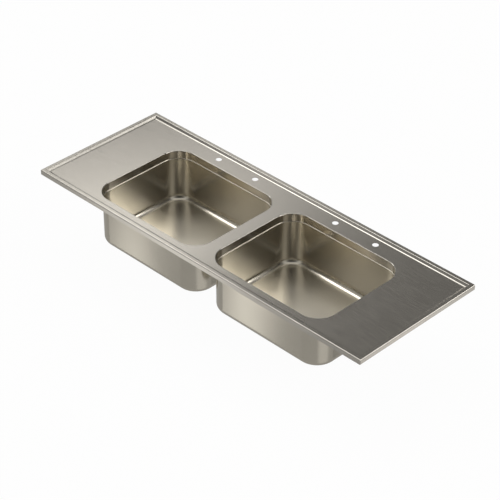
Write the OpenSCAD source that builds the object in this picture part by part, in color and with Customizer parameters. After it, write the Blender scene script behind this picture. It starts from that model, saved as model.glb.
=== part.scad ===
// Double bowl inset sink with a drainer at each end, in pressed and brushed stainless steel.
// Millimetres. X runs along the sink, Y from front to back, Z up.
// The origin is the middle of the rim, on the surface of the worktop that carries it.

/* [Deck] */
// Overall length of the rim
deck_l = 1500; // [1460:5:1700]
// Overall width of the rim, front to back
deck_w = 546; // [540:1:600]
// Height of the rim above the worktop
lip_h = 18; // [14:0.5:22]
// Depth of the flat deck below the top of the rim
deck_drop = 8.5; // [5:0.5:10]
// Thickness of the pressed steel sheet
sheet_t = 1.2; // [0.8:0.1:1.5]
// Width of the rim's flat top, from the outer edge
rim_flat = 14.5; // [14:0.5:18]
// Width of the slope from the rim down to the deck
slope_run = 8; // [6:0.5:12]
// Radius of the rim's outer top edge
rim_roll_r = 3; // [2:0.5:4]
// Radius of the fold from the rim's flat top into the slope
brim_fold_r = 3; // [2:0.5:4]
// Radius of the fold from the slope into the deck
foot_fold_r = 8; // [4:0.5:9]
// Radius of the rim's four corners, seen from above
corner_r = 3; // [2:0.5:4]

/* [Bowls] */
// Length of each drainer, from the rim's end to the opening
drainer_l = 219; // [200:1:240]
// Steel left between the two openings
bowl_gap = 54; // [52:1:80]
// Steel between the rim's front edge and the openings
front_land = 51; // [51:0.5:60]
// Steel between the openings and the rim's back edge
back_land = 91; // [86:0.5:110]
// Radius of an opening's corners, seen from above
opening_r = 74; // [60:1:90]
// Radius where the deck rolls over into an opening
edge_r = 2; // [1.8:0.1:4]
// Height of the collar that turns down into an opening
collar_h = 30; // [20:0.5:30]
// Width of the rounded ledge below the collar
ledge_w = 2; // [1.8:0.1:4]
// Depth from the deck to the bowl floor
bowl_depth = 200; // [150:5:250]
// Inside radius of the cove between wall and floor
cove_r = 22; // [15:1:35]
// Width of the welding flange outside the collar
weld_flange = 4; // [2:0.5:4.5]

/* [Tap holes] */
// Diameter of each tap hole
tap_hole_d = 22; // [20:0.5:35]
// Distance between the two tap holes of a bowl
tap_spacing = 180; // [150:5:200]
// Distance from the rim's back edge to the tap holes
tap_inset = 51.5; // [48:0.5:60]

/* [Wastes] */
// Diameter of the hole in each bowl floor
waste_hole_d = 90; // [88:1:92]
// Distance from the bowl's front wall to the middle of the waste
waste_front = 124; // [100:1:200]
// Radius of the strainer's flange
dish_flange_r = 56; // [54:0.5:60]
// Depth of the strainer dish below its flange
dish_depth = 36; // [32:1:45]
// Outside diameter of the threaded outlet
outlet_d = 47.8; // [47.4:0.1:48.2]
// Length of the threaded outlet
outlet_l = 25; // [18:1:35]
// Height of the knob's middle above the basket floor
knob_rise = 13; // [11:0.5:16]

/* [Fixings] */
// Distance from the rim's edge to the clip screws
clip_inset = 38; // [37.5:0.1:38.5]
// Distance from the worktop's surface down to the underside of the brackets
bracket_drop = 19.5; // [15:0.5:24]
// Reach of a claw from its screw to the toothed tip
claw_reach = 32; // [30:0.5:33]
// Diameter of the clip screws
clip_screw_d = 6; // [5:0.5:6]
// Thickness of the clip brackets
bracket_t = 1.5; // [1.2:0.1:2]
// Thickness of the claws
claw_t = 2.5; // [2:0.1:3]
// Width of the sealing strip under the rim
seal_w = 8; // [6:0.5:8.5]
// Height of the channels under the drainers
channel_h = 14; // [10:1:20]
// Distance from the rim's front and back edges to the ends of the channels
channel_inset = 73; // [60:1:120]
// Thickness of the damping pads under the bowls
pad_t = 3; // [2:0.5:5]

/* [Hidden] */
$fn = 96;
hex_sides = 6;
left = -1;
right = 1;

// Overrun of every cut past the face that it opens
cut_over = 1;
// Overlap of two bodies of one piece, flush with each other, where they join
join_over = 1;
// How far a fold's circle bites past the flats that it joins, so that each meets it in one edge
fold_bite = 0.001;
// Running gap between parts that turn or slide on each other
run_gap = 0.3;
// Radial clearance of a screw in its nut, boss or claw
screw_clearance = 0.05;
// Radial clearance of a screw through a plain hole
hole_clearance = 0.3;

// Levels
deck_z = lip_h - deck_drop;
deck_under_z = deck_z - sheet_t;
ledge_z = deck_z - collar_h;
floor_z = deck_z - bowl_depth;

// Rim and slope
slope_a = atan(deck_drop / slope_run);

// Bowls: half sizes of the opening and of the bowl's inner face
opening_hx = (deck_l - bowl_gap - 2 * drainer_l) / 4;
opening_hy = (deck_w - front_land - back_land) / 2;
bowl_hx = opening_hx - ledge_w;
bowl_hy = opening_hy - ledge_w;
bowl_r = opening_r - ledge_w;
bowl_x = opening_hx + bowl_gap / 2;
bowl_y = (front_land - back_land) / 2;
drainer_x = (deck_l - drainer_l) / 2;

// Tap holes
tap_y = deck_w / 2 - tap_inset;

// Wastes
waste_r = waste_hole_d / 2;
waste_y = bowl_y - bowl_hy + waste_front;
seat_drop = 3;
seat_clearance = 1;
seat_r = dish_flange_r + seat_clearance;
seat_shift = sheet_t * tan(22.5);
seat_outer_r = seat_r + seat_drop + seat_shift;
flange_gasket_t = 1.5;
body_gasket_t = 3;
gasket_w = 9;
dish_t = 1.2;
dish_bend_r = 4;
dish_cove_r = 5;
dish_wall_gap = 3.3;
dish_r = waste_r - dish_wall_gap - dish_t;
dish_top = floor_z - seat_drop + flange_gasket_t + dish_t;
dish_floor = dish_top - dish_depth;
dish_hole_d = 11;
dish_hole_ring_r = 22;
dish_holes = 8;
centre_screw_d = 6;
centre_screw_head_r = 6;
centre_screw_head_h = 3;
centre_screw_l = 20;
hex_key_across = 4;
hex_key_depth = 2;
body_top = floor_z - seat_drop - sheet_t - body_gasket_t;
body_wall = 3;
body_flange_w = 10;
body_flange_h = 4;
body_r = waste_r - seat_clearance;
body_deep = 8;
body_cone_h = 14;
outlet_wall = 4.4;
boss_r = 8;
rib_t = 3;
rib_h = 14;
ribs = 4;

// Strainer basket
basket_t = 1;
basket_gap = 5.5;
basket_r = dish_r - basket_gap;
basket_lift = 8;
basket_floor = dish_floor + basket_lift;
basket_rim_drop = 7;
basket_rim_top = dish_top - basket_rim_drop;
basket_rim_w = 4;
basket_seal_h = 4;
basket_cove_r = 3;
basket_hub_r = 9;
basket_hub_t = 1.5;
basket_hole_d = 4;
basket_ring_step = 8;
basket_rings = 3;
basket_wall_holes = 18;
knob_r = 9;
knob_stem_r = 3.5;
knob_round = 3;

// Clips
tip_gap = 0.8;
bracket_w = 13;
bracket_bend_r = 2;
bracket_crown = 13.5;
bracket_flange = 10;
bracket_z = -bracket_drop;
nut_h = 5;
nut_across = 10;
nut_r = nut_across / sqrt(3);
collar_r = 5;
collar_t = 1;
head_flange_r = 8;
head_flange_t = 1.2;
head_h = 4;
claw_top = bracket_z - run_gap - collar_t - run_gap;
claw_w = 14;
claw_heel_r = 11;
claw_tooth_h = 3;
claw_teeth = 3;
claw_side_t = 2;
claw_side_h = 3;
claw_side_from = 11;

// Clip places: the screw's x and y, and the turn that faces the claw's stowed arm along the rim
clip_x = deck_l / 2 - clip_inset;
clip_y = deck_w / 2 - clip_inset;
front_left = 0;
front_middle = 1;
front_right = 2;
right_end = 3;
back_right = 4;
back_middle = 5;
back_left = 6;
left_end = 7;
clip_places = [
    [-drainer_x, -clip_y, 0],
    [0, -clip_y, 0],
    [drainer_x, -clip_y, 0],
    [clip_x, 0, 90],
    [drainer_x, clip_y, 180],
    [0, clip_y, 180],
    [-drainer_x, clip_y, 180],
    [-clip_x, 0, 270]
];

// Sealing strip, channels and pads
seal_gap = 3;
channel_t = 1.5;
channel_crown = 15;
channel_flange = 15;
channel_bend_r = 2;
pad_margin = 40;
pad_r = 30;
pad_waste_gap = 12;

// Earth tag
tag_w = 16;
tag_t = 1.5;
tag_foot = 14;
tag_drop = 24;
tag_bend_r = 2;
tag_y = bowl_y + opening_hy - opening_r;
earth_screw_d = 6;
earth_screw_l = 16;
earth_head_r = 6;
earth_head_h = 3.5;
earth_washer_r = 6.4;
earth_washer_t = 1.2;
earth_z = deck_under_z - tag_drop + tag_w / 2;

// One quarter of a ring, in the quadrant where x and y are positive
module quarter(r_in, t) {
    intersection() {
        difference() {
            circle(r_in + t);
            circle(r_in);
        }
        square(r_in + t);
    }
}

// A rectangle of half sizes hx and hy with round corners
module rounded_rect(hx, hy, r) {
    square([2 * (hx - r), 2 * hy], center = true);
    square([2 * hx, 2 * (hy - r)], center = true);
    for (sx = [-1, 1], sy = [-1, 1])
        translate([sx * (hx - r), sy * (hy - r)]) circle(r);
}

// A profile carried round a rounded rectangle, its x counted outwards and its y as height
module ring_sweep(hx, hy, r) {
    for (k = [0:3]) {
        sx = k == 0 || k == 3 ? 1 : -1;
        sy = k < 2 ? 1 : -1;
        side = k % 2 == 0 ? hx : hy;
        run = k % 2 == 0 ? hy - r : hx - r;
        translate([sx * (hx - r), sy * (hy - r), 0])
            rotate([0, 0, k * 90]) rotate_extrude(angle = 90) translate([r, 0]) children();
        rotate([0, 0, k * 90]) translate([side, 0, 0])
            rotate([90, 0, 0]) linear_extrude(2 * run, center = true) children();
    }
}

// A hat-shaped folded strip: crown at low, two legs, and flanges that end flat at high
module hat_profile(crown, low, high, flange, t, r) {
    for (side = [0, 1]) mirror([side, 0]) {
        translate([0, low]) square([crown - t - r, t]);
        translate([crown - t - r, low + t + r]) mirror([0, 1]) quarter(r, t);
        translate([crown - t, low + t + r]) square([t, high - low - 2 * (t + r)]);
        translate([crown + r, high - t - r]) mirror([1, 0]) quarter(r, t);
        translate([crown + r, high - t]) square([flange - r, t]);
    }
}

// A flat ring of inner radius r and width w, standing on z
module flat_ring(r, w, z, t) {
    translate([0, 0, z]) difference() {
        cylinder(h = t, r = r + w);
        translate([0, 0, -cut_over]) cylinder(h = t + 2 * cut_over, r = r);
    }
}

// Outline of a slab of half width w and height h with rounded top edges, open to depth d below zero
module slab_profile(w, h, r, d) {
    translate([-w, -d]) square([2 * w, d + h - r]);
    translate([r - w, h - r]) square([2 * (w - r), r]);
    for (side = [-1, 1])
        translate([side * (w - r), h - r]) circle(r);
}

// Slab with rolled top edges and round corners, in the deck's outline drawn in by inset
module rolled_slab(inset, h, roll, r, below) {
    hx = deck_l / 2 - inset;
    hy = deck_w / 2 - inset;
    intersection() {
        rotate([90, 0, 0]) linear_extrude(2 * hy, center = true) slab_profile(hx, h, roll, below);
        rotate([90, 0, 90]) linear_extrude(2 * hx, center = true) slab_profile(hy, h, roll, below);
        translate([0, 0, -below]) linear_extrude(h + below) rounded_rect(hx, hy, r);
    }
}

// What a fold of radius r takes off the sharp corner between a level leg and the slope
module fold_corner(r) {
    reach = r * tan(slope_a / 2);
    past = cut_over * tan(slope_a / 2);
    along = reach + past;
    difference() {
        polygon([
            [-reach, -cut_over], [past, -cut_over],
            [past + along * cos(slope_a), along * sin(slope_a) - cut_over], [-reach, r]
        ]);
        translate([-reach, r]) circle(r + fold_bite);
    }
}

// Section of the space inside the rim across a half width w: floor, slopes with rounded folds, open top
module recess_profile(w, low, high, r_low, r_high, above) {
    foot = -slope_run;
    floor_end = foot - r_low;
    brim = r_high;
    translate([-w - floor_end, low]) square([2 * (w + floor_end), high + above - low]);
    for (side = [0, 1]) mirror([side, 0]) translate([w, 0]) {
        difference() {
            polygon([
                [floor_end, low], [foot, low], [0, high],
                [brim, high], [brim, high + above], [floor_end, high + above]
            ]);
            translate([foot, low]) fold_corner(r_low);
        }
        translate([0, high]) rotate(180) fold_corner(r_high);
    }
}

// Everything above the deck and inside the slopes, let down by the sheet's thickness t
module recess(t, above) {
    inset = rim_flat - t * tan(slope_a / 2);
    r_low = foot_fold_r + t;
    r_high = brim_fold_r - t;
    intersection() {
        rotate([90, 0, 0]) linear_extrude(deck_w, center = true)
            recess_profile(deck_l / 2 - inset, deck_z - t, lip_h - t, r_low, r_high, above);
        rotate([90, 0, 90]) linear_extrude(deck_l, center = true)
            recess_profile(deck_w / 2 - inset, deck_z - t, lip_h - t, r_low, r_high, above);
    }
}

// The deck's roll-over and the collar below it, measured outwards from the collar's inner face
module collar_profile() {
    translate([edge_r, deck_under_z]) square([join_over, sheet_t]);
    translate([edge_r, deck_z - edge_r]) mirror([1, 0]) quarter(edge_r - sheet_t, sheet_t);
    translate([0, ledge_z]) square([sheet_t, collar_h - edge_r]);
}

module deck() {
    color("silver") {
        difference() {
            rolled_slab(0, lip_h, rim_roll_r, corner_r, 0);
            difference() {
                rolled_slab(sheet_t, lip_h - sheet_t, rim_roll_r - sheet_t, corner_r - sheet_t, cut_over);
                recess(sheet_t, sheet_t + cut_over);
            }
            recess(0, cut_over);
            for (side = [left, right]) translate([side * bowl_x, 0, 0]) {
                translate([0, bowl_y, 0]) linear_extrude(lip_h)
                    rounded_rect(opening_hx + edge_r, opening_hy + edge_r, opening_r + edge_r);
                for (tap = [-1, 1]) translate([tap * tap_spacing / 2, tap_y, 0])
                    cylinder(h = lip_h, d = tap_hole_d);
            }
        }
        for (side = [left, right]) translate([side * bowl_x, bowl_y, 0])
            ring_sweep(opening_hx, opening_hy, opening_r) collar_profile();
    }
}

// The bowl's wall from its welding flange to the end of the cove, outwards from its inner face
module bowl_profile() {
    translate([ledge_w, ledge_z - sheet_t]) square([sheet_t + weld_flange, sheet_t]);
    translate([ledge_w, ledge_z - ledge_w]) mirror([1, 0]) quarter(ledge_w - sheet_t, sheet_t);
    translate([0, floor_z + cove_r]) square([sheet_t, ledge_z - ledge_w - floor_z - cove_r]);
    translate([-cove_r, floor_z + cove_r]) mirror([0, 1]) quarter(cove_r, sheet_t);
    translate([-cove_r - join_over, floor_z - sheet_t]) square([join_over, sheet_t]);
}

// The pressed seat that lets the strainer's flange lie level with the floor
module waste_seat() {
    outer = seat_outer_r + join_over;
    rotate_extrude() polygon([
        [outer, floor_z], [seat_r + seat_drop, floor_z], [seat_r, floor_z - seat_drop],
        [waste_r, floor_z - seat_drop], [waste_r, floor_z - seat_drop - sheet_t],
        [seat_r + seat_shift, floor_z - seat_drop - sheet_t],
        [seat_outer_r, floor_z - sheet_t], [outer, floor_z - sheet_t]
    ]);
}

module bowl(side) {
    color("silver") translate([side * bowl_x, 0, 0]) {
        translate([0, bowl_y, 0]) ring_sweep(bowl_hx, bowl_hy, bowl_r) bowl_profile();
        difference() {
            translate([0, bowl_y, floor_z - sheet_t]) linear_extrude(sheet_t)
                rounded_rect(bowl_hx - cove_r, bowl_hy - cove_r, bowl_r - cove_r);
            translate([0, waste_y, floor_z - sheet_t - cut_over])
                cylinder(h = sheet_t + 2 * cut_over, r = seat_outer_r);
        }
        translate([0, waste_y, 0]) waste_seat();
    }
}

// Strip between the rim's underside and the worktop, just inside the lip
module rim_seal() {
    outer_x = deck_l / 2 - sheet_t - seal_gap;
    outer_y = deck_w / 2 - sheet_t - seal_gap;
    color("dimgray") linear_extrude(lip_h - sheet_t) difference() {
        square([2 * outer_x, 2 * outer_y], center = true);
        square([2 * (outer_x - seal_w), 2 * (outer_y - seal_w)], center = true);
    }
}

module drainer_channel(side) {
    channel_l = deck_w - 2 * channel_inset;
    channel_z = deck_under_z - channel_h;
    color("gray") translate([side * drainer_x, 0, 0]) rotate([90, 0, 0])
        linear_extrude(channel_l, center = true)
            hat_profile(channel_crown, channel_z, deck_under_z, channel_flange, channel_t, channel_bend_r);
}

// Damping pad stuck under a bowl's flat floor, cut away round the waste
module sound_pad(side) {
    pad_hx = bowl_hx - cove_r - pad_margin;
    pad_hy = bowl_hy - cove_r - pad_margin / 2;
    color("dimgray") translate([side * bowl_x, 0, floor_z - sheet_t - pad_t])
        linear_extrude(pad_t) difference() {
            translate([0, bowl_y]) rounded_rect(pad_hx, pad_hy, pad_r);
            translate([0, waste_y]) circle(seat_outer_r + pad_waste_gap);
        }
}

// Moves a clip part from its own axes to its place under the rim
module at_clip(i) {
    translate([clip_places[i][0], clip_places[i][1], 0]) rotate([0, 0, clip_places[i][2]]) children();
}

module clip_brackets() {
    color("lightgray") for (i = [0:len(clip_places) - 1]) at_clip(i) difference() {
        rotate([90, 0, 0]) linear_extrude(bracket_w, center = true)
            hat_profile(bracket_crown, bracket_z, deck_under_z, bracket_flange, bracket_t, bracket_bend_r);
        translate([0, 0, bracket_z - cut_over])
            cylinder(h = bracket_t + 2 * cut_over, d = clip_screw_d + 2 * hole_clearance);
    }
}

// A plain hexagon nut of height h with a clearance bore for a screw of diameter d
module hex_nut(h, r, d) {
    difference() {
        cylinder(h = h, r = r, $fn = hex_sides);
        translate([0, 0, -cut_over]) cylinder(h = h + 2 * cut_over, d = d + 2 * screw_clearance);
    }
}

module clip_nuts() {
    color("lightgray") for (i = [0:len(clip_places) - 1])
        at_clip(i) translate([0, 0, bracket_z + bracket_t]) hex_nut(nut_h, nut_r, clip_screw_d);
}

// Hexagon screw with a retaining collar, so that the claw between collar and head rises with it
module clip_screw(i) {
    claw_under = claw_top - claw_t;
    head_top = claw_under - run_gap;
    color("gainsboro") at_clip(i) {
        translate([0, 0, head_top]) cylinder(h = deck_under_z - tip_gap - head_top, d = clip_screw_d);
        translate([0, 0, claw_top + run_gap]) cylinder(h = collar_t, r = collar_r);
        translate([0, 0, head_top - head_flange_t]) cylinder(h = head_flange_t, r = head_flange_r);
        translate([0, 0, head_top - head_flange_t - head_h]) cylinder(h = head_h, r = nut_r, $fn = hex_sides);
    }
}

// Claw with a round heel, two stiffening sides and a toothed tip that bites the worktop's underside
module clip_claw(i) {
    tooth_w = claw_w / claw_teeth;
    color("gainsboro") at_clip(i) {
        difference() {
            translate([0, 0, claw_top - claw_t]) linear_extrude(claw_t) {
                circle(claw_heel_r);
                translate([0, -claw_w / 2]) square([claw_reach, claw_w]);
            }
            translate([0, 0, claw_top - claw_t - cut_over])
                cylinder(h = claw_t + 2 * cut_over, d = clip_screw_d + 2 * screw_clearance);
        }
        translate([claw_reach - claw_t, 0, 0]) rotate([90, 0, 90]) linear_extrude(claw_t)
            for (k = [0:claw_teeth - 1]) translate([k * tooth_w - claw_w / 2, claw_top])
                polygon([[0, 0], [tooth_w, 0], [tooth_w, claw_tooth_h / 2], [tooth_w / 2, claw_tooth_h],
                    [0, claw_tooth_h / 2]]);
        for (y = [-1, 1]) translate([claw_side_from, y * (claw_w - claw_side_t) / 2 - claw_side_t / 2, 0])
            translate([0, 0, claw_top - claw_t - claw_side_h])
                cube([claw_reach - claw_side_from, claw_side_t, claw_side_h]);
    }
}

// Folded tab welded under the deck between the bowls, with a hole for the bonding screw
module earth_tag() {
    color("lightgray") translate([0, tag_y, 0]) difference() {
        rotate([90, 0, 90]) linear_extrude(tag_w, center = true) {
            translate([tag_t + tag_bend_r, deck_under_z - tag_t])
                square([tag_foot - tag_t - tag_bend_r, tag_t]);
            translate([tag_t + tag_bend_r, deck_under_z - tag_t - tag_bend_r]) mirror([1, 0])
                quarter(tag_bend_r, tag_t);
            translate([0, deck_under_z - tag_drop]) square([tag_t, tag_drop - tag_t - tag_bend_r]);
        }
        translate([0, -cut_over, earth_z]) rotate([-90, 0, 0])
            cylinder(h = tag_t + 2 * cut_over, d = earth_screw_d + 2 * hole_clearance);
    }
}

module earth_screw() {
    front = -earth_washer_t - earth_head_h;
    color("gold") translate([0, tag_y, earth_z]) rotate([-90, 0, 0]) {
        translate([0, 0, -earth_washer_t]) cylinder(h = earth_screw_l, d = earth_screw_d);
        difference() {
            translate([0, 0, front]) cylinder(h = earth_head_h, r = earth_head_r);
            translate([0, 0, front - cut_over])
                cylinder(h = hex_key_depth + cut_over, r = hex_key_across / sqrt(3), $fn = hex_sides);
        }
    }
}

module earth_washers() {
    color("gold") translate([0, tag_y, earth_z]) rotate([-90, 0, 0]) for (z = [-earth_washer_t, tag_t])
        flat_ring(earth_screw_d / 2 + screw_clearance, earth_washer_r - earth_screw_d / 2, z, earth_washer_t);
}

module earth_nut() {
    color("gold") translate([0, tag_y + tag_t + earth_washer_t, earth_z]) rotate([-90, 0, 0])
        hex_nut(nut_h, nut_r, earth_screw_d);
}

// Moves a waste part to the middle of a bowl's waste hole
module at_waste(side) {
    translate([side * bowl_x, waste_y, 0]) children();
}

module strainer_dish(side) {
    color("silver") at_waste(side) difference() {
        rotate_extrude() {
            translate([dish_r + dish_bend_r, dish_top - dish_t])
                square([dish_flange_r - dish_r - dish_bend_r, dish_t]);
            translate([dish_r + dish_bend_r, dish_top - dish_bend_r]) mirror([1, 0])
                quarter(dish_bend_r - dish_t, dish_t);
            translate([dish_r, dish_floor + dish_cove_r])
                square([dish_t, dish_depth - dish_bend_r - dish_cove_r]);
            translate([dish_r - dish_cove_r, dish_floor + dish_cove_r]) mirror([0, 1])
                quarter(dish_cove_r, dish_t);
            translate([0, dish_floor - dish_t]) square([dish_r - dish_cove_r, dish_t]);
        }
        translate([0, 0, dish_floor - dish_t - cut_over]) {
            cylinder(h = dish_t + 2 * cut_over, d = centre_screw_d + 2 * hole_clearance);
            for (k = [0:dish_holes - 1]) rotate([0, 0, k * 360 / dish_holes])
                translate([dish_hole_ring_r, 0, 0])
                    cylinder(h = dish_t + 2 * cut_over, d = dish_hole_d);
        }
    }
}

module flange_gasket(side) {
    color("dimgray") at_waste(side)
        flat_ring(waste_r + seat_clearance, gasket_w, floor_z - seat_drop, flange_gasket_t);
}

module body_gasket(side) {
    color("dimgray") at_waste(side) flat_ring(body_r, gasket_w, body_top, body_gasket_t);
}

// Moulded body: flange, chamber round the dish, cone, threaded outlet, and a ribbed boss for the screw
module waste_body(side) {
    chamber_z = dish_floor - dish_t - body_deep;
    cone_z = chamber_z - body_cone_h;
    outlet_r = outlet_d / 2;
    boss_top = dish_floor - dish_t;
    color("dimgray") at_waste(side) {
        difference() {
            union() {
                rotate_extrude() polygon([
                    [body_r, body_top], [body_r + body_flange_w, body_top],
                    [body_r + body_flange_w, body_top - body_flange_h],
                    [body_r + body_wall, body_top - body_flange_h], [body_r + body_wall, chamber_z],
                    [outlet_r, cone_z], [outlet_r, cone_z - outlet_l],
                    [outlet_r - outlet_wall, cone_z - outlet_l], [outlet_r - outlet_wall, cone_z],
                    [body_r, chamber_z]
                ]);
                translate([0, 0, boss_top - rib_h]) cylinder(h = rib_h, r = boss_r);
                intersection() {
                    for (k = [0:ribs - 1]) rotate([0, 0, k * 360 / ribs + 180 / dish_holes])
                        translate([0, -rib_t / 2, boss_top - rib_h])
                            cube([body_r + body_wall / 2, rib_t, rib_h]);
                    rotate_extrude() polygon([
                        [0, boss_top], [body_r + body_wall / 2, boss_top],
                        [body_r + body_wall / 2, chamber_z],
                        [outlet_r - outlet_wall / 2, cone_z], [0, cone_z]
                    ]);
                }
            }
            translate([0, 0, boss_top - rib_h - cut_over])
                cylinder(h = rib_h + 2 * cut_over, d = centre_screw_d + 2 * screw_clearance);
        }
    }
}

module centre_screw(side) {
    color("gainsboro") at_waste(side) difference() {
        union() {
            translate([0, 0, dish_floor]) cylinder(h = centre_screw_head_h, r = centre_screw_head_r);
            translate([0, 0, dish_floor - centre_screw_l]) cylinder(h = centre_screw_l, d = centre_screw_d);
        }
        translate([0, 0, dish_floor + centre_screw_head_h - hex_key_depth])
            cylinder(h = hex_key_depth + cut_over, r = hex_key_across / sqrt(3), $fn = hex_sides);
    }
}

// Perforated cup with a rolled rim, a hub that stands on the dish round the screw, and a knob
module strainer_basket(side) {
    rim_under = basket_rim_top - basket_t;
    color("silver") at_waste(side) {
        difference() {
            rotate_extrude() {
                translate([basket_r, rim_under]) square([basket_rim_w + basket_t, basket_t]);
                translate([basket_r, basket_floor + basket_cove_r])
                    square([basket_t, rim_under - basket_floor - basket_cove_r]);
                translate([basket_r - basket_cove_r, basket_floor + basket_cove_r]) mirror([0, 1])
                    quarter(basket_cove_r, basket_t);
                translate([0, basket_floor - basket_t]) square([basket_r - basket_cove_r, basket_t]);
                translate([basket_hub_r - basket_hub_t, dish_floor + run_gap])
                    square([basket_hub_t, basket_lift - run_gap]);
            }
            for (ring = [1:basket_rings]) {
                ring_r = ring * basket_ring_step + basket_hole_d;
                holes = 8 * ring;
                for (k = [0:holes - 1]) rotate([0, 0, k * 360 / holes])
                    translate([ring_r, 0, basket_floor - basket_t - cut_over])
                        cylinder(h = basket_t + 2 * cut_over, d = basket_hole_d);
            }
            for (k = [0:basket_wall_holes - 1]) rotate([0, 90, k * 360 / basket_wall_holes])
                translate([-(basket_floor + basket_rim_top - basket_seal_h) / 2, 0, basket_r - cut_over])
                    cylinder(h = basket_t + 2 * cut_over, d = basket_hole_d);
        }
        rotate_extrude() {
            translate([0, basket_floor]) square([knob_stem_r, knob_rise]);
            translate([0, basket_floor + knob_rise - knob_round])
                square([knob_r - knob_round, 2 * knob_round]);
            translate([knob_r - knob_round, basket_floor + knob_rise]) intersection() {
                circle(knob_round);
                translate([0, -knob_round]) square(2 * knob_round);
            }
        }
    }
}

module basket_seal(side) {
    inner = basket_r + basket_t + screw_clearance;
    color("dimgray") at_waste(side)
        flat_ring(inner, dish_r - run_gap - inner, basket_rim_top - basket_t - basket_seal_h, basket_seal_h);
}

deck();
bowl(left);  // left_bowl
bowl(right);  // right_bowl
rim_seal();
drainer_channel(left);  // left_drainer_channel
drainer_channel(right);  // right_drainer_channel
sound_pad(left);  // left_sound_pad
sound_pad(right);  // right_sound_pad
clip_brackets();
clip_nuts();
clip_screw(front_left);  // front_left_clip_screw
clip_screw(front_middle);  // front_middle_clip_screw
clip_screw(front_right);  // front_right_clip_screw
clip_screw(right_end);  // right_end_clip_screw
clip_screw(back_right);  // back_right_clip_screw
clip_screw(back_middle);  // back_middle_clip_screw
clip_screw(back_left);  // back_left_clip_screw
clip_screw(left_end);  // left_end_clip_screw
clip_claw(front_left);  // front_left_clip_claw
clip_claw(front_middle);  // front_middle_clip_claw
clip_claw(front_right);  // front_right_clip_claw
clip_claw(right_end);  // right_end_clip_claw
clip_claw(back_right);  // back_right_clip_claw
clip_claw(back_middle);  // back_middle_clip_claw
clip_claw(back_left);  // back_left_clip_claw
clip_claw(left_end);  // left_end_clip_claw
earth_tag();
earth_screw();
earth_washers();
earth_nut();
strainer_dish(left);  // left_strainer_dish
strainer_dish(right);  // right_strainer_dish
flange_gasket(left);  // left_flange_gasket
flange_gasket(right);  // right_flange_gasket
body_gasket(left);  // left_body_gasket
body_gasket(right);  // right_body_gasket
waste_body(left);  // left_waste_body
waste_body(right);  // right_waste_body
centre_screw(left);  // left_centre_screw
centre_screw(right);  // right_centre_screw
strainer_basket(left);  // left_strainer_basket
strainer_basket(right);  // right_strainer_basket
basket_seal(left);  // left_basket_seal
basket_seal(right);  // right_basket_seal
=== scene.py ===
import math

import bmesh
import bpy
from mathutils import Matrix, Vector


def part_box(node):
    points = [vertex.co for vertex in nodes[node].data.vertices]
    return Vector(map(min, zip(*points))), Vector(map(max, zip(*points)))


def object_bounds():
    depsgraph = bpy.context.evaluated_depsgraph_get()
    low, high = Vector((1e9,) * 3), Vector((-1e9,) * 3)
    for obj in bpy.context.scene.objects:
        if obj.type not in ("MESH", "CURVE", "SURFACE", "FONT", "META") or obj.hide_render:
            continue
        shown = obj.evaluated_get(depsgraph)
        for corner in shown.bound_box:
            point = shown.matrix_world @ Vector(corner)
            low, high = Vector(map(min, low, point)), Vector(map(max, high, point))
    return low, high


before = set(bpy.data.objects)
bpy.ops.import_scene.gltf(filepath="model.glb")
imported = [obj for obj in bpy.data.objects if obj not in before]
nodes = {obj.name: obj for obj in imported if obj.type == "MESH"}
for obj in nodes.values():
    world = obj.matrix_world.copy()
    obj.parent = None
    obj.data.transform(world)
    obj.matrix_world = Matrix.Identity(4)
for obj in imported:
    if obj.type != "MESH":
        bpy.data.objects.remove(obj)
frame_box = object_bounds()

# Measures of the bowls in metres, from the frame and from thicknesses and radii of the part

SHEET = 0.0012
SEAT_DROP = 0.003
FLANGE = 0.006
BOWL_CORNER_R = 0.072
COVE_R = 0.022
bowl_low, bowl_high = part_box("right_bowl")
BOWL_X = (bowl_low[0] + bowl_high[0]) / 2
BOWL_Y = (bowl_low[1] + bowl_high[1]) / 2
BOWL_HALF_X = (bowl_high[0] - bowl_low[0]) / 2 - FLANGE - SHEET
BOWL_HALF_Y = (bowl_high[1] - bowl_low[1]) / 2 - FLANGE - SHEET
FLOOR_Z = bowl_low[2] + SEAT_DROP + SHEET

# Swelling of the drawn walls: how fast it falls away, and how far outward the outer one has its middle

INNER_SWELL = 0.075
OUTER_SWELL = 0.149
OUTER_SWELL_SHIFT = 0.0735

# Camera, with lengths in metres and angles in radians, the azimuth from the front. The sensor is in
# millimetres, and the focal length and the photograph's size are in pixels

VIEW_AZIMUTH = math.radians(45)
VIEW_ELEVATION = math.asin(1 / math.sqrt(3))
VIEW_TARGET = Vector((0.106723, -0.099647, 0.018))
VIEW_DISTANCE = 6.196662
SENSOR = 36
FOCAL_PX = 1896.516
PHOTO_PX = 500
NEAREST = 0.05
FARTHEST = 50


def unit_vector(azimuth, elevation):
    """Direction from two angles in radians, with the azimuth counted from the X axis."""
    level = math.cos(elevation)
    return Vector((math.cos(azimuth) * level, math.sin(azimuth) * level, math.sin(elevation)))


toward_camera = unit_vector(VIEW_AZIMUTH - math.pi / 2, VIEW_ELEVATION)
camera_data = bpy.data.cameras.new("catalogue_camera")
camera_data.sensor_width = SENSOR
camera_data.lens = FOCAL_PX * SENSOR / PHOTO_PX
camera_data.clip_start = NEAREST
camera_data.clip_end = FARTHEST
camera = bpy.data.objects.new("catalogue_camera", camera_data)
camera.location = VIEW_TARGET + toward_camera * VIEW_DISTANCE
camera.rotation_euler = (-toward_camera).to_track_quat("-Z", "Y").to_euler()
bpy.context.scene.collection.objects.link(camera)
bpy.context.scene.camera = camera


# Shader maths


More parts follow.
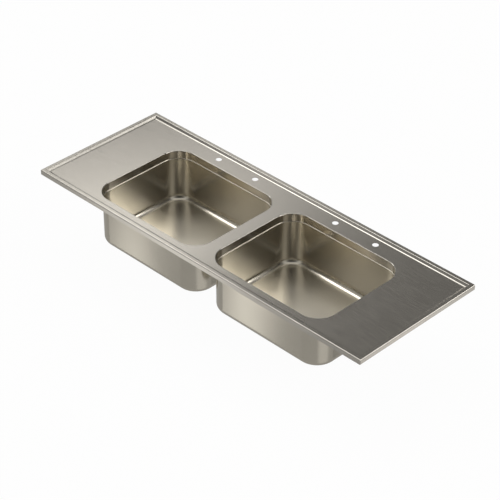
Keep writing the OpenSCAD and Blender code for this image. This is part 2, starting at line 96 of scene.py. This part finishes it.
class Signal:
    """A socket whose arithmetic adds Math nodes to its shader."""

    def __init__(self, shader, socket):
        self.shader = shader
        self.socket = socket

    def _math(self, operation, *values):
        return self.shader.node("ShaderNodeMath", {"operation": operation}, dict(enumerate(values)))

    def __add__(self, other):
        return self._math("ADD", self, other)

    def __sub__(self, other):
        return self._math("SUBTRACT", self, other)

    def __rsub__(self, other):
        return self._math("SUBTRACT", other, self)

    def __mul__(self, other):
        return self._math("MULTIPLY", self, other)

    __radd__ = __add__
    __rmul__ = __mul__

    def positive(self):
        return self._math("MAXIMUM", self, 0)

    def clamped(self):
        return self._math("MINIMUM", self.positive(), 1)

    def size(self):
        return self._math("ABSOLUTE", self)

    def across(self, other):
        """Length of a right angle's long side, from its two short ones."""
        return self._math("SQRT", self * self + other * other)

    def above(self, limit):
        return self._math("GREATER_THAN", self, limit)


class Shader:
    """The node tree of a material or of the surroundings."""

    def __init__(self, tree):
        self.tree = tree
        tree.nodes.clear()

    def node(self, kind, settings=None, inputs=None, output=0):
        """Adds a node with its settings and the values or links of its sockets, and gives one output."""
        made = self.tree.nodes.new(kind)
        for name, value in (settings or {}).items():
            if name == "stops":
                self._set_stops(made.color_ramp, value)
            else:
                setattr(made, name, value)
        for name, value in (inputs or {}).items():
            self._feed(made.inputs[name], value)
        return Signal(self, made.outputs[output]) if made.outputs else None

    def _feed(self, socket, value):
        if isinstance(value, Signal):
            self.tree.links.new(value.socket, socket)
        elif socket.type == "RGBA":
            socket.default_value = (*value, 1)
        else:
            socket.default_value = value

    def _set_stops(self, ramp, stops):
        while len(ramp.elements) < len(stops):
            ramp.elements.new(1)
        for element, (place, colour) in zip(ramp.elements, stops):
            element.position = place
            element.color = (*colour, 1)

    def place(self, stretch=(1, 1, 1)):
        """Object coordinates in metres, each axis multiplied by its stretch."""
        at = self.node("ShaderNodeTexCoord", output="Object")
        return self.node("ShaderNodeMapping", inputs={"Vector": at, "Scale": stretch})

    def place_axes(self):
        split = self.node("ShaderNodeSeparateXYZ", inputs={"Vector": self.place()})
        return [Signal(self, output) for output in split.socket.node.outputs]

    def noise(self, scale, detail=2, stretch=(1, 1, 1)):
        inputs = {"Vector": self.place(stretch), "Scale": scale, "Detail": detail, "Roughness": 0.5}
        return self.node("ShaderNodeTexNoise", {"noise_dimensions": "3D"}, inputs)

    def swell(self, centre_x, centre_y, fall):
        """Height that falls away with the square of the distance from one place in each bowl."""
        x, y, _ = self.place_axes()
        from_x = x.size() - centre_x
        from_y = y - centre_y
        return (from_x * from_x + from_y * from_y) * -fall

    def outside_of_bowls(self):
        """1 on the outer faces of the drawn bowls and 0 on their inner ones, also round the coves."""
        x, y, z = self.place_axes()
        over_x = ((x.size() - BOWL_X).size() - (BOWL_HALF_X - BOWL_CORNER_R)).positive()
        over_y = ((y - BOWL_Y).size() - (BOWL_HALF_Y - BOWL_CORNER_R)).positive()
        to_wall = (over_x.across(over_y) - (BOWL_CORNER_R - COVE_R)).positive()
        to_floor = (FLOOR_Z + COVE_R - z).positive()
        return (to_wall.across(to_floor) - COVE_R).above(SHEET / 2)

    def near_floor(self, reach):
        """Rises from 0 at this height above the bowl floors to 1 at a third of it, and stays 1 below."""
        _, _, z = self.place_axes()
        return ((FLOOR_Z + reach - z) * (1.5 / reach)).clamped()

    def mix(self, share, low, high):
        """Mixes two colours, each a link or three numbers, at the sockets that this node has for them."""
        return self.node("ShaderNodeMix", {"data_type": "RGBA"}, {0: share, 6: low, 7: high}, output=2)

    def ramp(self, signal, stops):
        return self.node("ShaderNodeValToRGB", {"stops": stops}, {"Fac": signal})

    def bump(self, height, strength, distance, over=None):
        """Normals roughened by a height, on top of those given by another bump."""
        inputs = {"Height": height, "Strength": strength, "Distance": distance}
        if over:
            inputs["Normal"] = over
        return self.node("ShaderNodeBump", inputs=inputs)


def start_material(name):
    """Starts a material, and returns it with its shader."""
    material = bpy.data.materials.new(name)
    material.use_nodes = True
    return material, Shader(material.node_tree)


def close_material(shader, **inputs):
    """Ends a material with its surface. An underscore in an input's name stands for a space."""
    inputs = {name.replace("_", " "): value for name, value in inputs.items()}
    surface = shader.node("ShaderNodeBsdfPrincipled", inputs=inputs)
    shader.node("ShaderNodeOutputMaterial", inputs={"Surface": surface})


# Finishes, with noise sizes in repeats a metre and depths in metres

SCRATCHES = 900
FINE_SCRATCHES = 2600
SPECKLE = 420
SPANGLES = 260
SHEET_CLOUDS = 7
METAL_CLOUDS = 30
ZINC_CLOUDS = 60
RUBBER_CLOUDS = 25
METAL_DEPTH = 0.0002
RUBBER_DEPTH = 0.0004
# Share of the painted sheen: how far the bowl floors' colour is pushed towards a paler tone that stands in
# for the light they catch
PAINTED_FLOOR_SHEEN = 0.4


def two_tones(dark, light):
    """Stops of a ramp that uses the middle of a noise, where most of its values are."""
    return [(0.3, dark), (0.7, light)]


def varied(middle, *spreads):
    """Moves a middle value up and down with each noise, by half its spread either way."""
    for noise, spread in spreads:
        middle = noise * spread + (middle - spread / 2)
    return middle.clamped()


def brushed_steel(name, dark, light, grain, rough, bump):
    """Steel brushed along one direction: grain holds the stretch of its scratches on each axis."""
    material, shader = start_material(name)
    scratches = shader.noise(SCRATCHES, detail=3, stretch=grain)
    fine = shader.noise(FINE_SCRATCHES, stretch=grain)
    speckle = shader.noise(SPECKLE, detail=3)
    cloud = shader.noise(SHEET_CLOUDS)
    tone = (scratches * 0.5 + speckle * 0.4 + cloud * 0.1).clamped()
    close_material(
        shader,
        Base_Color=shader.ramp(tone, two_tones(dark, light)),
        Metallic=1.0,
        Roughness=varied(rough, (scratches, 0.14), (cloud, 0.04)),
        Normal=shader.bump(fine + scratches, bump, METAL_DEPTH),
    )
    return material


def drawn_steel(name, dark, light, painted_pale, grain, rough_inside, rough_outside, rough_floor, bump):
    """Steel of the drawn bowls: satin inside, duller on the floor, where its colour is painted paler as a
    painted sheen, and left smoother outside.

    The flat walls swell a little between their corners, and more on the outside.
    """
    material, shader = start_material(name)
    scratches = shader.noise(SCRATCHES, detail=3, stretch=grain)
    fine = shader.noise(FINE_SCRATCHES, stretch=grain)
    speckle = shader.noise(SPECKLE, detail=3)
    cloud = shader.noise(SHEET_CLOUDS)
    tone = (scratches * 0.45 + speckle * 0.35 + cloud * 0.2).clamped()
    outside = shader.outside_of_bowls()
    inner_swell = shader.swell(BOWL_X, BOWL_Y, INNER_SWELL)
    outer_swell = shader.swell(BOWL_X + OUTER_SWELL_SHIFT, BOWL_Y, OUTER_SWELL)
    swelling = shader.bump(inner_swell + (outer_swell - inner_swell) * outside, strength=1, distance=1)
    inside = shader.near_floor(COVE_R / 16) * (rough_floor - rough_inside) + rough_inside
    rough = inside + (rough_outside - inside) * outside
    # Painted sheen: the colour is painted paler near the bowl floors and at the foot of the coves
    sheen_tone = (tone + shader.near_floor(COVE_R / 2) * PAINTED_FLOOR_SHEEN).clamped()
    close_material(
        shader,
        Base_Color=shader.ramp(sheen_tone, two_tones(dark, light) + [(1, painted_pale)]),
        Metallic=1.0,
        Roughness=varied(rough, (scratches, 0.1), (cloud, 0.06)),
        Normal=shader.bump(fine + scratches, bump, METAL_DEPTH, swelling),
    )
    return material


def satin_metal(name, dark, light, rough, grain_size=600):
    material, shader = start_material(name)
    grain = shader.noise(grain_size, detail=4)
    cloud = shader.noise(METAL_CLOUDS)
    tone = (grain * 0.5 + cloud * 0.5).clamped()
    close_material(
        shader,
        Base_Color=shader.ramp(tone, two_tones(dark, light)),
        Metallic=1.0,
        Roughness=varied(rough, (grain, 0.16)),
        Normal=shader.bump(grain, strength=0.05, distance=METAL_DEPTH),
    )
    return material


def galvanised(name, dark, light, rough):
    """Hot-dipped zinc, with a patchwork of spangles that each have a tone of their own."""
    material, shader = start_material(name)
    cells = {"Vector": shader.place(), "Scale": SPANGLES}
    spangle = shader.node("ShaderNodeTexVoronoi", {"feature": "F1"}, cells, "Color")
    share = shader.node("ShaderNodeSeparateColor", inputs={"Color": spangle})
    cloud = shader.noise(ZINC_CLOUDS)
    tone = (share * 0.7 + cloud * 0.3).clamped()
    close_material(
        shader,
        Base_Color=shader.ramp(tone, [(0.1, dark), (0.9, light)]),
        Metallic=1.0,
        Roughness=varied(rough, (share, 0.2)),
        Normal=shader.bump(share, strength=0.04, distance=METAL_DEPTH),
    )
    return material


def rubbery(name, dark, light, rough, grain_size, bump):
    material, shader = start_material(name)
    grain = shader.noise(grain_size, detail=4)
    cloud = shader.noise(RUBBER_CLOUDS)
    tone = (grain * 0.6 + cloud * 0.4).clamped()
    close_material(
        shader,
        Base_Color=shader.ramp(tone, two_tones(dark, light)),
        Roughness=varied(rough, (grain, 0.2)),
        Normal=shader.bump(grain, bump, RUBBER_DEPTH),
    )
    return material


deck_finish = brushed_steel(
    "deck_brushed_steel", dark=(0.47, 0.45, 0.41), light=(0.66, 0.63, 0.585),
    grain=(0.02, 1, 1), rough=0.15, bump=0.04,
)
# The last and palest colour of the bowls is the painted sheen on their floors
bowl_finish = drawn_steel(
    "bowl_satin_steel", dark=(0.56, 0.53, 0.465), light=(0.7, 0.66, 0.575), painted_pale=(0.87, 0.82, 0.715),
    grain=(1, 1, 0.3), rough_inside=0.25, rough_outside=0.19, rough_floor=0.32, bump=0.03,
)
strainer_finish = satin_metal("strainer_steel", dark=(0.6, 0.59, 0.57), light=(0.74, 0.73, 0.7), rough=0.22)
basket_finish = satin_metal("basket_steel", dark=(0.62, 0.61, 0.59), light=(0.76, 0.75, 0.73), rough=0.18)
zinc_finish = satin_metal(
    "zinc_plate", dark=(0.55, 0.56, 0.56), light=(0.74, 0.74, 0.71), rough=0.28, grain_size=900,
)
claw_finish = satin_metal(
    "claw_zinc", dark=(0.5, 0.5, 0.48), light=(0.7, 0.68, 0.6), rough=0.34, grain_size=700,
)
brass_finish = satin_metal(
    "earth_brass", dark=(0.62, 0.44, 0.18), light=(0.83, 0.65, 0.33), rough=0.3, grain_size=800,
)
galvanised_finish = galvanised(
    "galvanised_steel", dark=(0.4, 0.41, 0.42), light=(0.62, 0.63, 0.64), rough=0.42,
)
foam_finish = rubbery(
    "sealing_foam", dark=(0.03, 0.03, 0.03), light=(0.08, 0.08, 0.08),
    rough=0.85, grain_size=1500, bump=0.4,
)
pad_finish = rubbery(
    "damping_pad", dark=(0.05, 0.05, 0.052), light=(0.12, 0.12, 0.12),
    rough=0.75, grain_size=500, bump=0.3,
)
gasket_finish = rubbery(
    "gasket_rubber", dark=(0.02, 0.02, 0.02), light=(0.05, 0.05, 0.05),
    rough=0.55, grain_size=900, bump=0.15,
)
plastic_finish = rubbery(
    "waste_plastic", dark=(0.06, 0.06, 0.062), light=(0.1, 0.1, 0.1),
    rough=0.42, grain_size=700, bump=0.1,
)

# The finish of each piece, by the end of its node's name

FINISH_OF = {
    "deck": deck_finish,
    "bowl": bowl_finish,
    "rim_seal": foam_finish,
    "drainer_channel": galvanised_finish,
    "sound_pad": pad_finish,
    "clip_brackets": galvanised_finish,
    "clip_nuts": zinc_finish,
    "clip_screw": zinc_finish,
    "clip_claw": claw_finish,
    "earth_tag": galvanised_finish,
    "earth_screw": brass_finish,
    "earth_washers": brass_finish,
    "earth_nut": brass_finish,
    "strainer_dish": strainer_finish,
    "flange_gasket": gasket_finish,
    "body_gasket": gasket_finish,
    "waste_body": plastic_finish,
    "centre_screw": zinc_finish,
    "strainer_basket": basket_finish,
    "basket_seal": gasket_finish,
}

for name, part in nodes.items():
    kind = next(key for key in FINISH_OF if name.endswith(key))
    part.data.materials.clear()
    part.data.materials.append(FINISH_OF[kind])

# Studio floor: paper that takes the object's shadow, and that the camera sees as nearly plain white

FLOOR_HALF = 12
FLOOR_GAP = 0.0005
PAPER = (0.9, 0.9, 0.9)
WHITE = (1, 1, 1)
PLAIN_SHARE = 0.97

floor_mesh = bpy.data.meshes.new("studio_floor")
floor_form = bmesh.new()
bmesh.ops.create_grid(floor_form, x_segments=1, y_segments=1, size=FLOOR_HALF)
bmesh.ops.translate(floor_form, verts=floor_form.verts, vec=(0, 0, frame_box[0][2] - FLOOR_GAP))
floor_form.to_mesh(floor_mesh)
floor = bpy.data.objects.new("studio_floor", floor_mesh)
bpy.context.scene.collection.objects.link(floor)
floor.visible_glossy = False

floor_material, floor_shader = start_material("studio_floor")
seen = floor_shader.node("ShaderNodeLightPath", output="Is Camera Ray")
paper = floor_shader.node("ShaderNodeBsdfDiffuse", inputs={"Color": PAPER})
plain = floor_shader.node("ShaderNodeEmission", inputs={"Color": WHITE, "Strength": 1.0})
both = floor_shader.node("ShaderNodeMixShader", inputs={0: seen * PLAIN_SHARE, 1: paper, 2: plain})
floor_shader.node("ShaderNodeOutputMaterial", inputs={"Surface": both})
floor_mesh.materials.append(floor_material)

# Surroundings: a grey sky, covered by round panels one after the other

LOW_SKY = 0.38
HIGH_SKY = 0.56
WARM_WHITE = (1, 0.985, 0.95)

world = bpy.data.worlds.new("studio_surroundings")
bpy.context.scene.world = world
world.use_nodes = True
air = Shader(world.node_tree)
direction = air.node("ShaderNodeTexCoord", output="Generated")


def warm_grey(level):
    return [level * part for part in WARM_WHITE]


def panel(azimuth, elevation, even, gone):
    """1 in a round patch out to one half angle in degrees, and 0 from the other half angle on."""
    axis = unit_vector(math.radians(azimuth), math.radians(elevation))
    cosine = air.node("ShaderNodeVectorMath", {"operation": "DOT_PRODUCT"}, {0: direction, 1: axis}, "Value")
    limits = {"From Min": math.cos(math.radians(gone)), "From Max": math.cos(math.radians(even))}
    return air.node("ShaderNodeMapRange", {"interpolation_type": "SMOOTHSTEP"}, {"Value": cosine, **limits})


def cover(light, azimuth, elevation, even, gone, level):
    """Covers one patch of the light with a panel of this level."""
    return air.mix(panel(azimuth, elevation, even, gone), light, warm_grey(level))


light = air.mix(panel(azimuth=0, elevation=90, even=30, gone=100), warm_grey(LOW_SKY), warm_grey(HIGH_SKY))

# Dark side behind the camera, which the bowls show where the light is mirrored three times
light = cover(light, azimuth=315, elevation=44, even=19, gone=31, level=0.025)

# Dark wall at the back left, for the darker end of the deck and the folds at the foot of the rim
light = cover(light, azimuth=138, elevation=12, even=26, gone=38, level=0.17)

# Two low spots in that wall, for the fold at the foot of the front rim
light = cover(light, azimuth=134, elevation=15, even=3, gone=7, level=0.85)
light = cover(light, azimuth=131.5, elevation=1, even=4, gone=8, level=0.85)

# Main window and the wall that cuts it off, for the change from light to dark along the deck
light = cover(light, azimuth=136, elevation=50, even=7.5, gone=20.5, level=3.6)
light = cover(light, azimuth=118, elevation=54, even=21, gone=24.5, level=0.19)

# Skylight above the window, for the arcs of the coves in the bowls' corners
light = cover(light, azimuth=135, elevation=66, even=9, gone=20, level=2.2)

# Dark wall at the back, for the stripes of the bowls' corners
light = cover(light, azimuth=86, elevation=34, even=16, gone=32, level=0.12)

# Window at the back right, for the left walls of the bowls, and its shade, for the slope of the left rim
light = cover(light, azimuth=36, elevation=33, even=12.5, gone=19.5, level=4)
light = cover(light, azimuth=44.5, elevation=40.8, even=4, gone=6.3, level=0.36)

# Wall at the front left with three spots, for the back walls of the bowls and the slope of the back rim
light = cover(light, azimuth=226, elevation=36, even=10, gone=26, level=0.36)
light = cover(light, azimuth=220, elevation=32, even=3, gone=6, level=0.1)
light = cover(light, azimuth=232, elevation=37.5, even=4, gone=7, level=0.22)
light = cover(light, azimuth=225.2, elevation=34.7, even=0.5, gone=3, level=0.85)

# Skylight on the left, for the coves at the back of the bowls and the folds of the back rim
light = cover(light, azimuth=180, elevation=57, even=12, gone=23, level=1.45)

# Stand-in for the studio floor with four patches, for the outer walls of the bowls and the lip
light = cover(light, azimuth=0, elevation=-90, even=30, gone=90, level=0.42)
light = cover(light, azimuth=345, elevation=-36, even=12, gone=26, level=0.62)
light = cover(light, azimuth=44, elevation=-37, even=3, gone=6, level=0.2)
light = cover(light, azimuth=220.4, elevation=-36.8, even=0.1, gone=4.2, level=1.6)
light = cover(light, azimuth=50.8, elevation=-37.4, even=1, gone=3.6, level=1.25)

# The camera itself sees plain white
seen = air.node("ShaderNodeLightPath", output="Is Camera Ray")
light = air.mix(seen, light, WHITE)
background = air.node("ShaderNodeBackground", inputs={"Color": light, "Strength": 1.0})
air.node("ShaderNodeOutputWorld", inputs={"Surface": background})


def softbox(name, place, size, power):
    """Square lamp that faces the middle of the deck."""
    data = bpy.data.lights.new(name, "AREA")
    data.size = size
    data.energy = power
    lamp = bpy.data.objects.new(name, data)
    lamp.location = place
    lamp.rotation_euler = Vector(place).to_track_quat("Z", "Y").to_euler()
    bpy.context.scene.collection.objects.link(lamp)


softbox("key_softbox", place=(-1.9, 0, 3.0), size=1.6, power=12)

bpy.context.scene.view_settings.view_transform = "Standard"
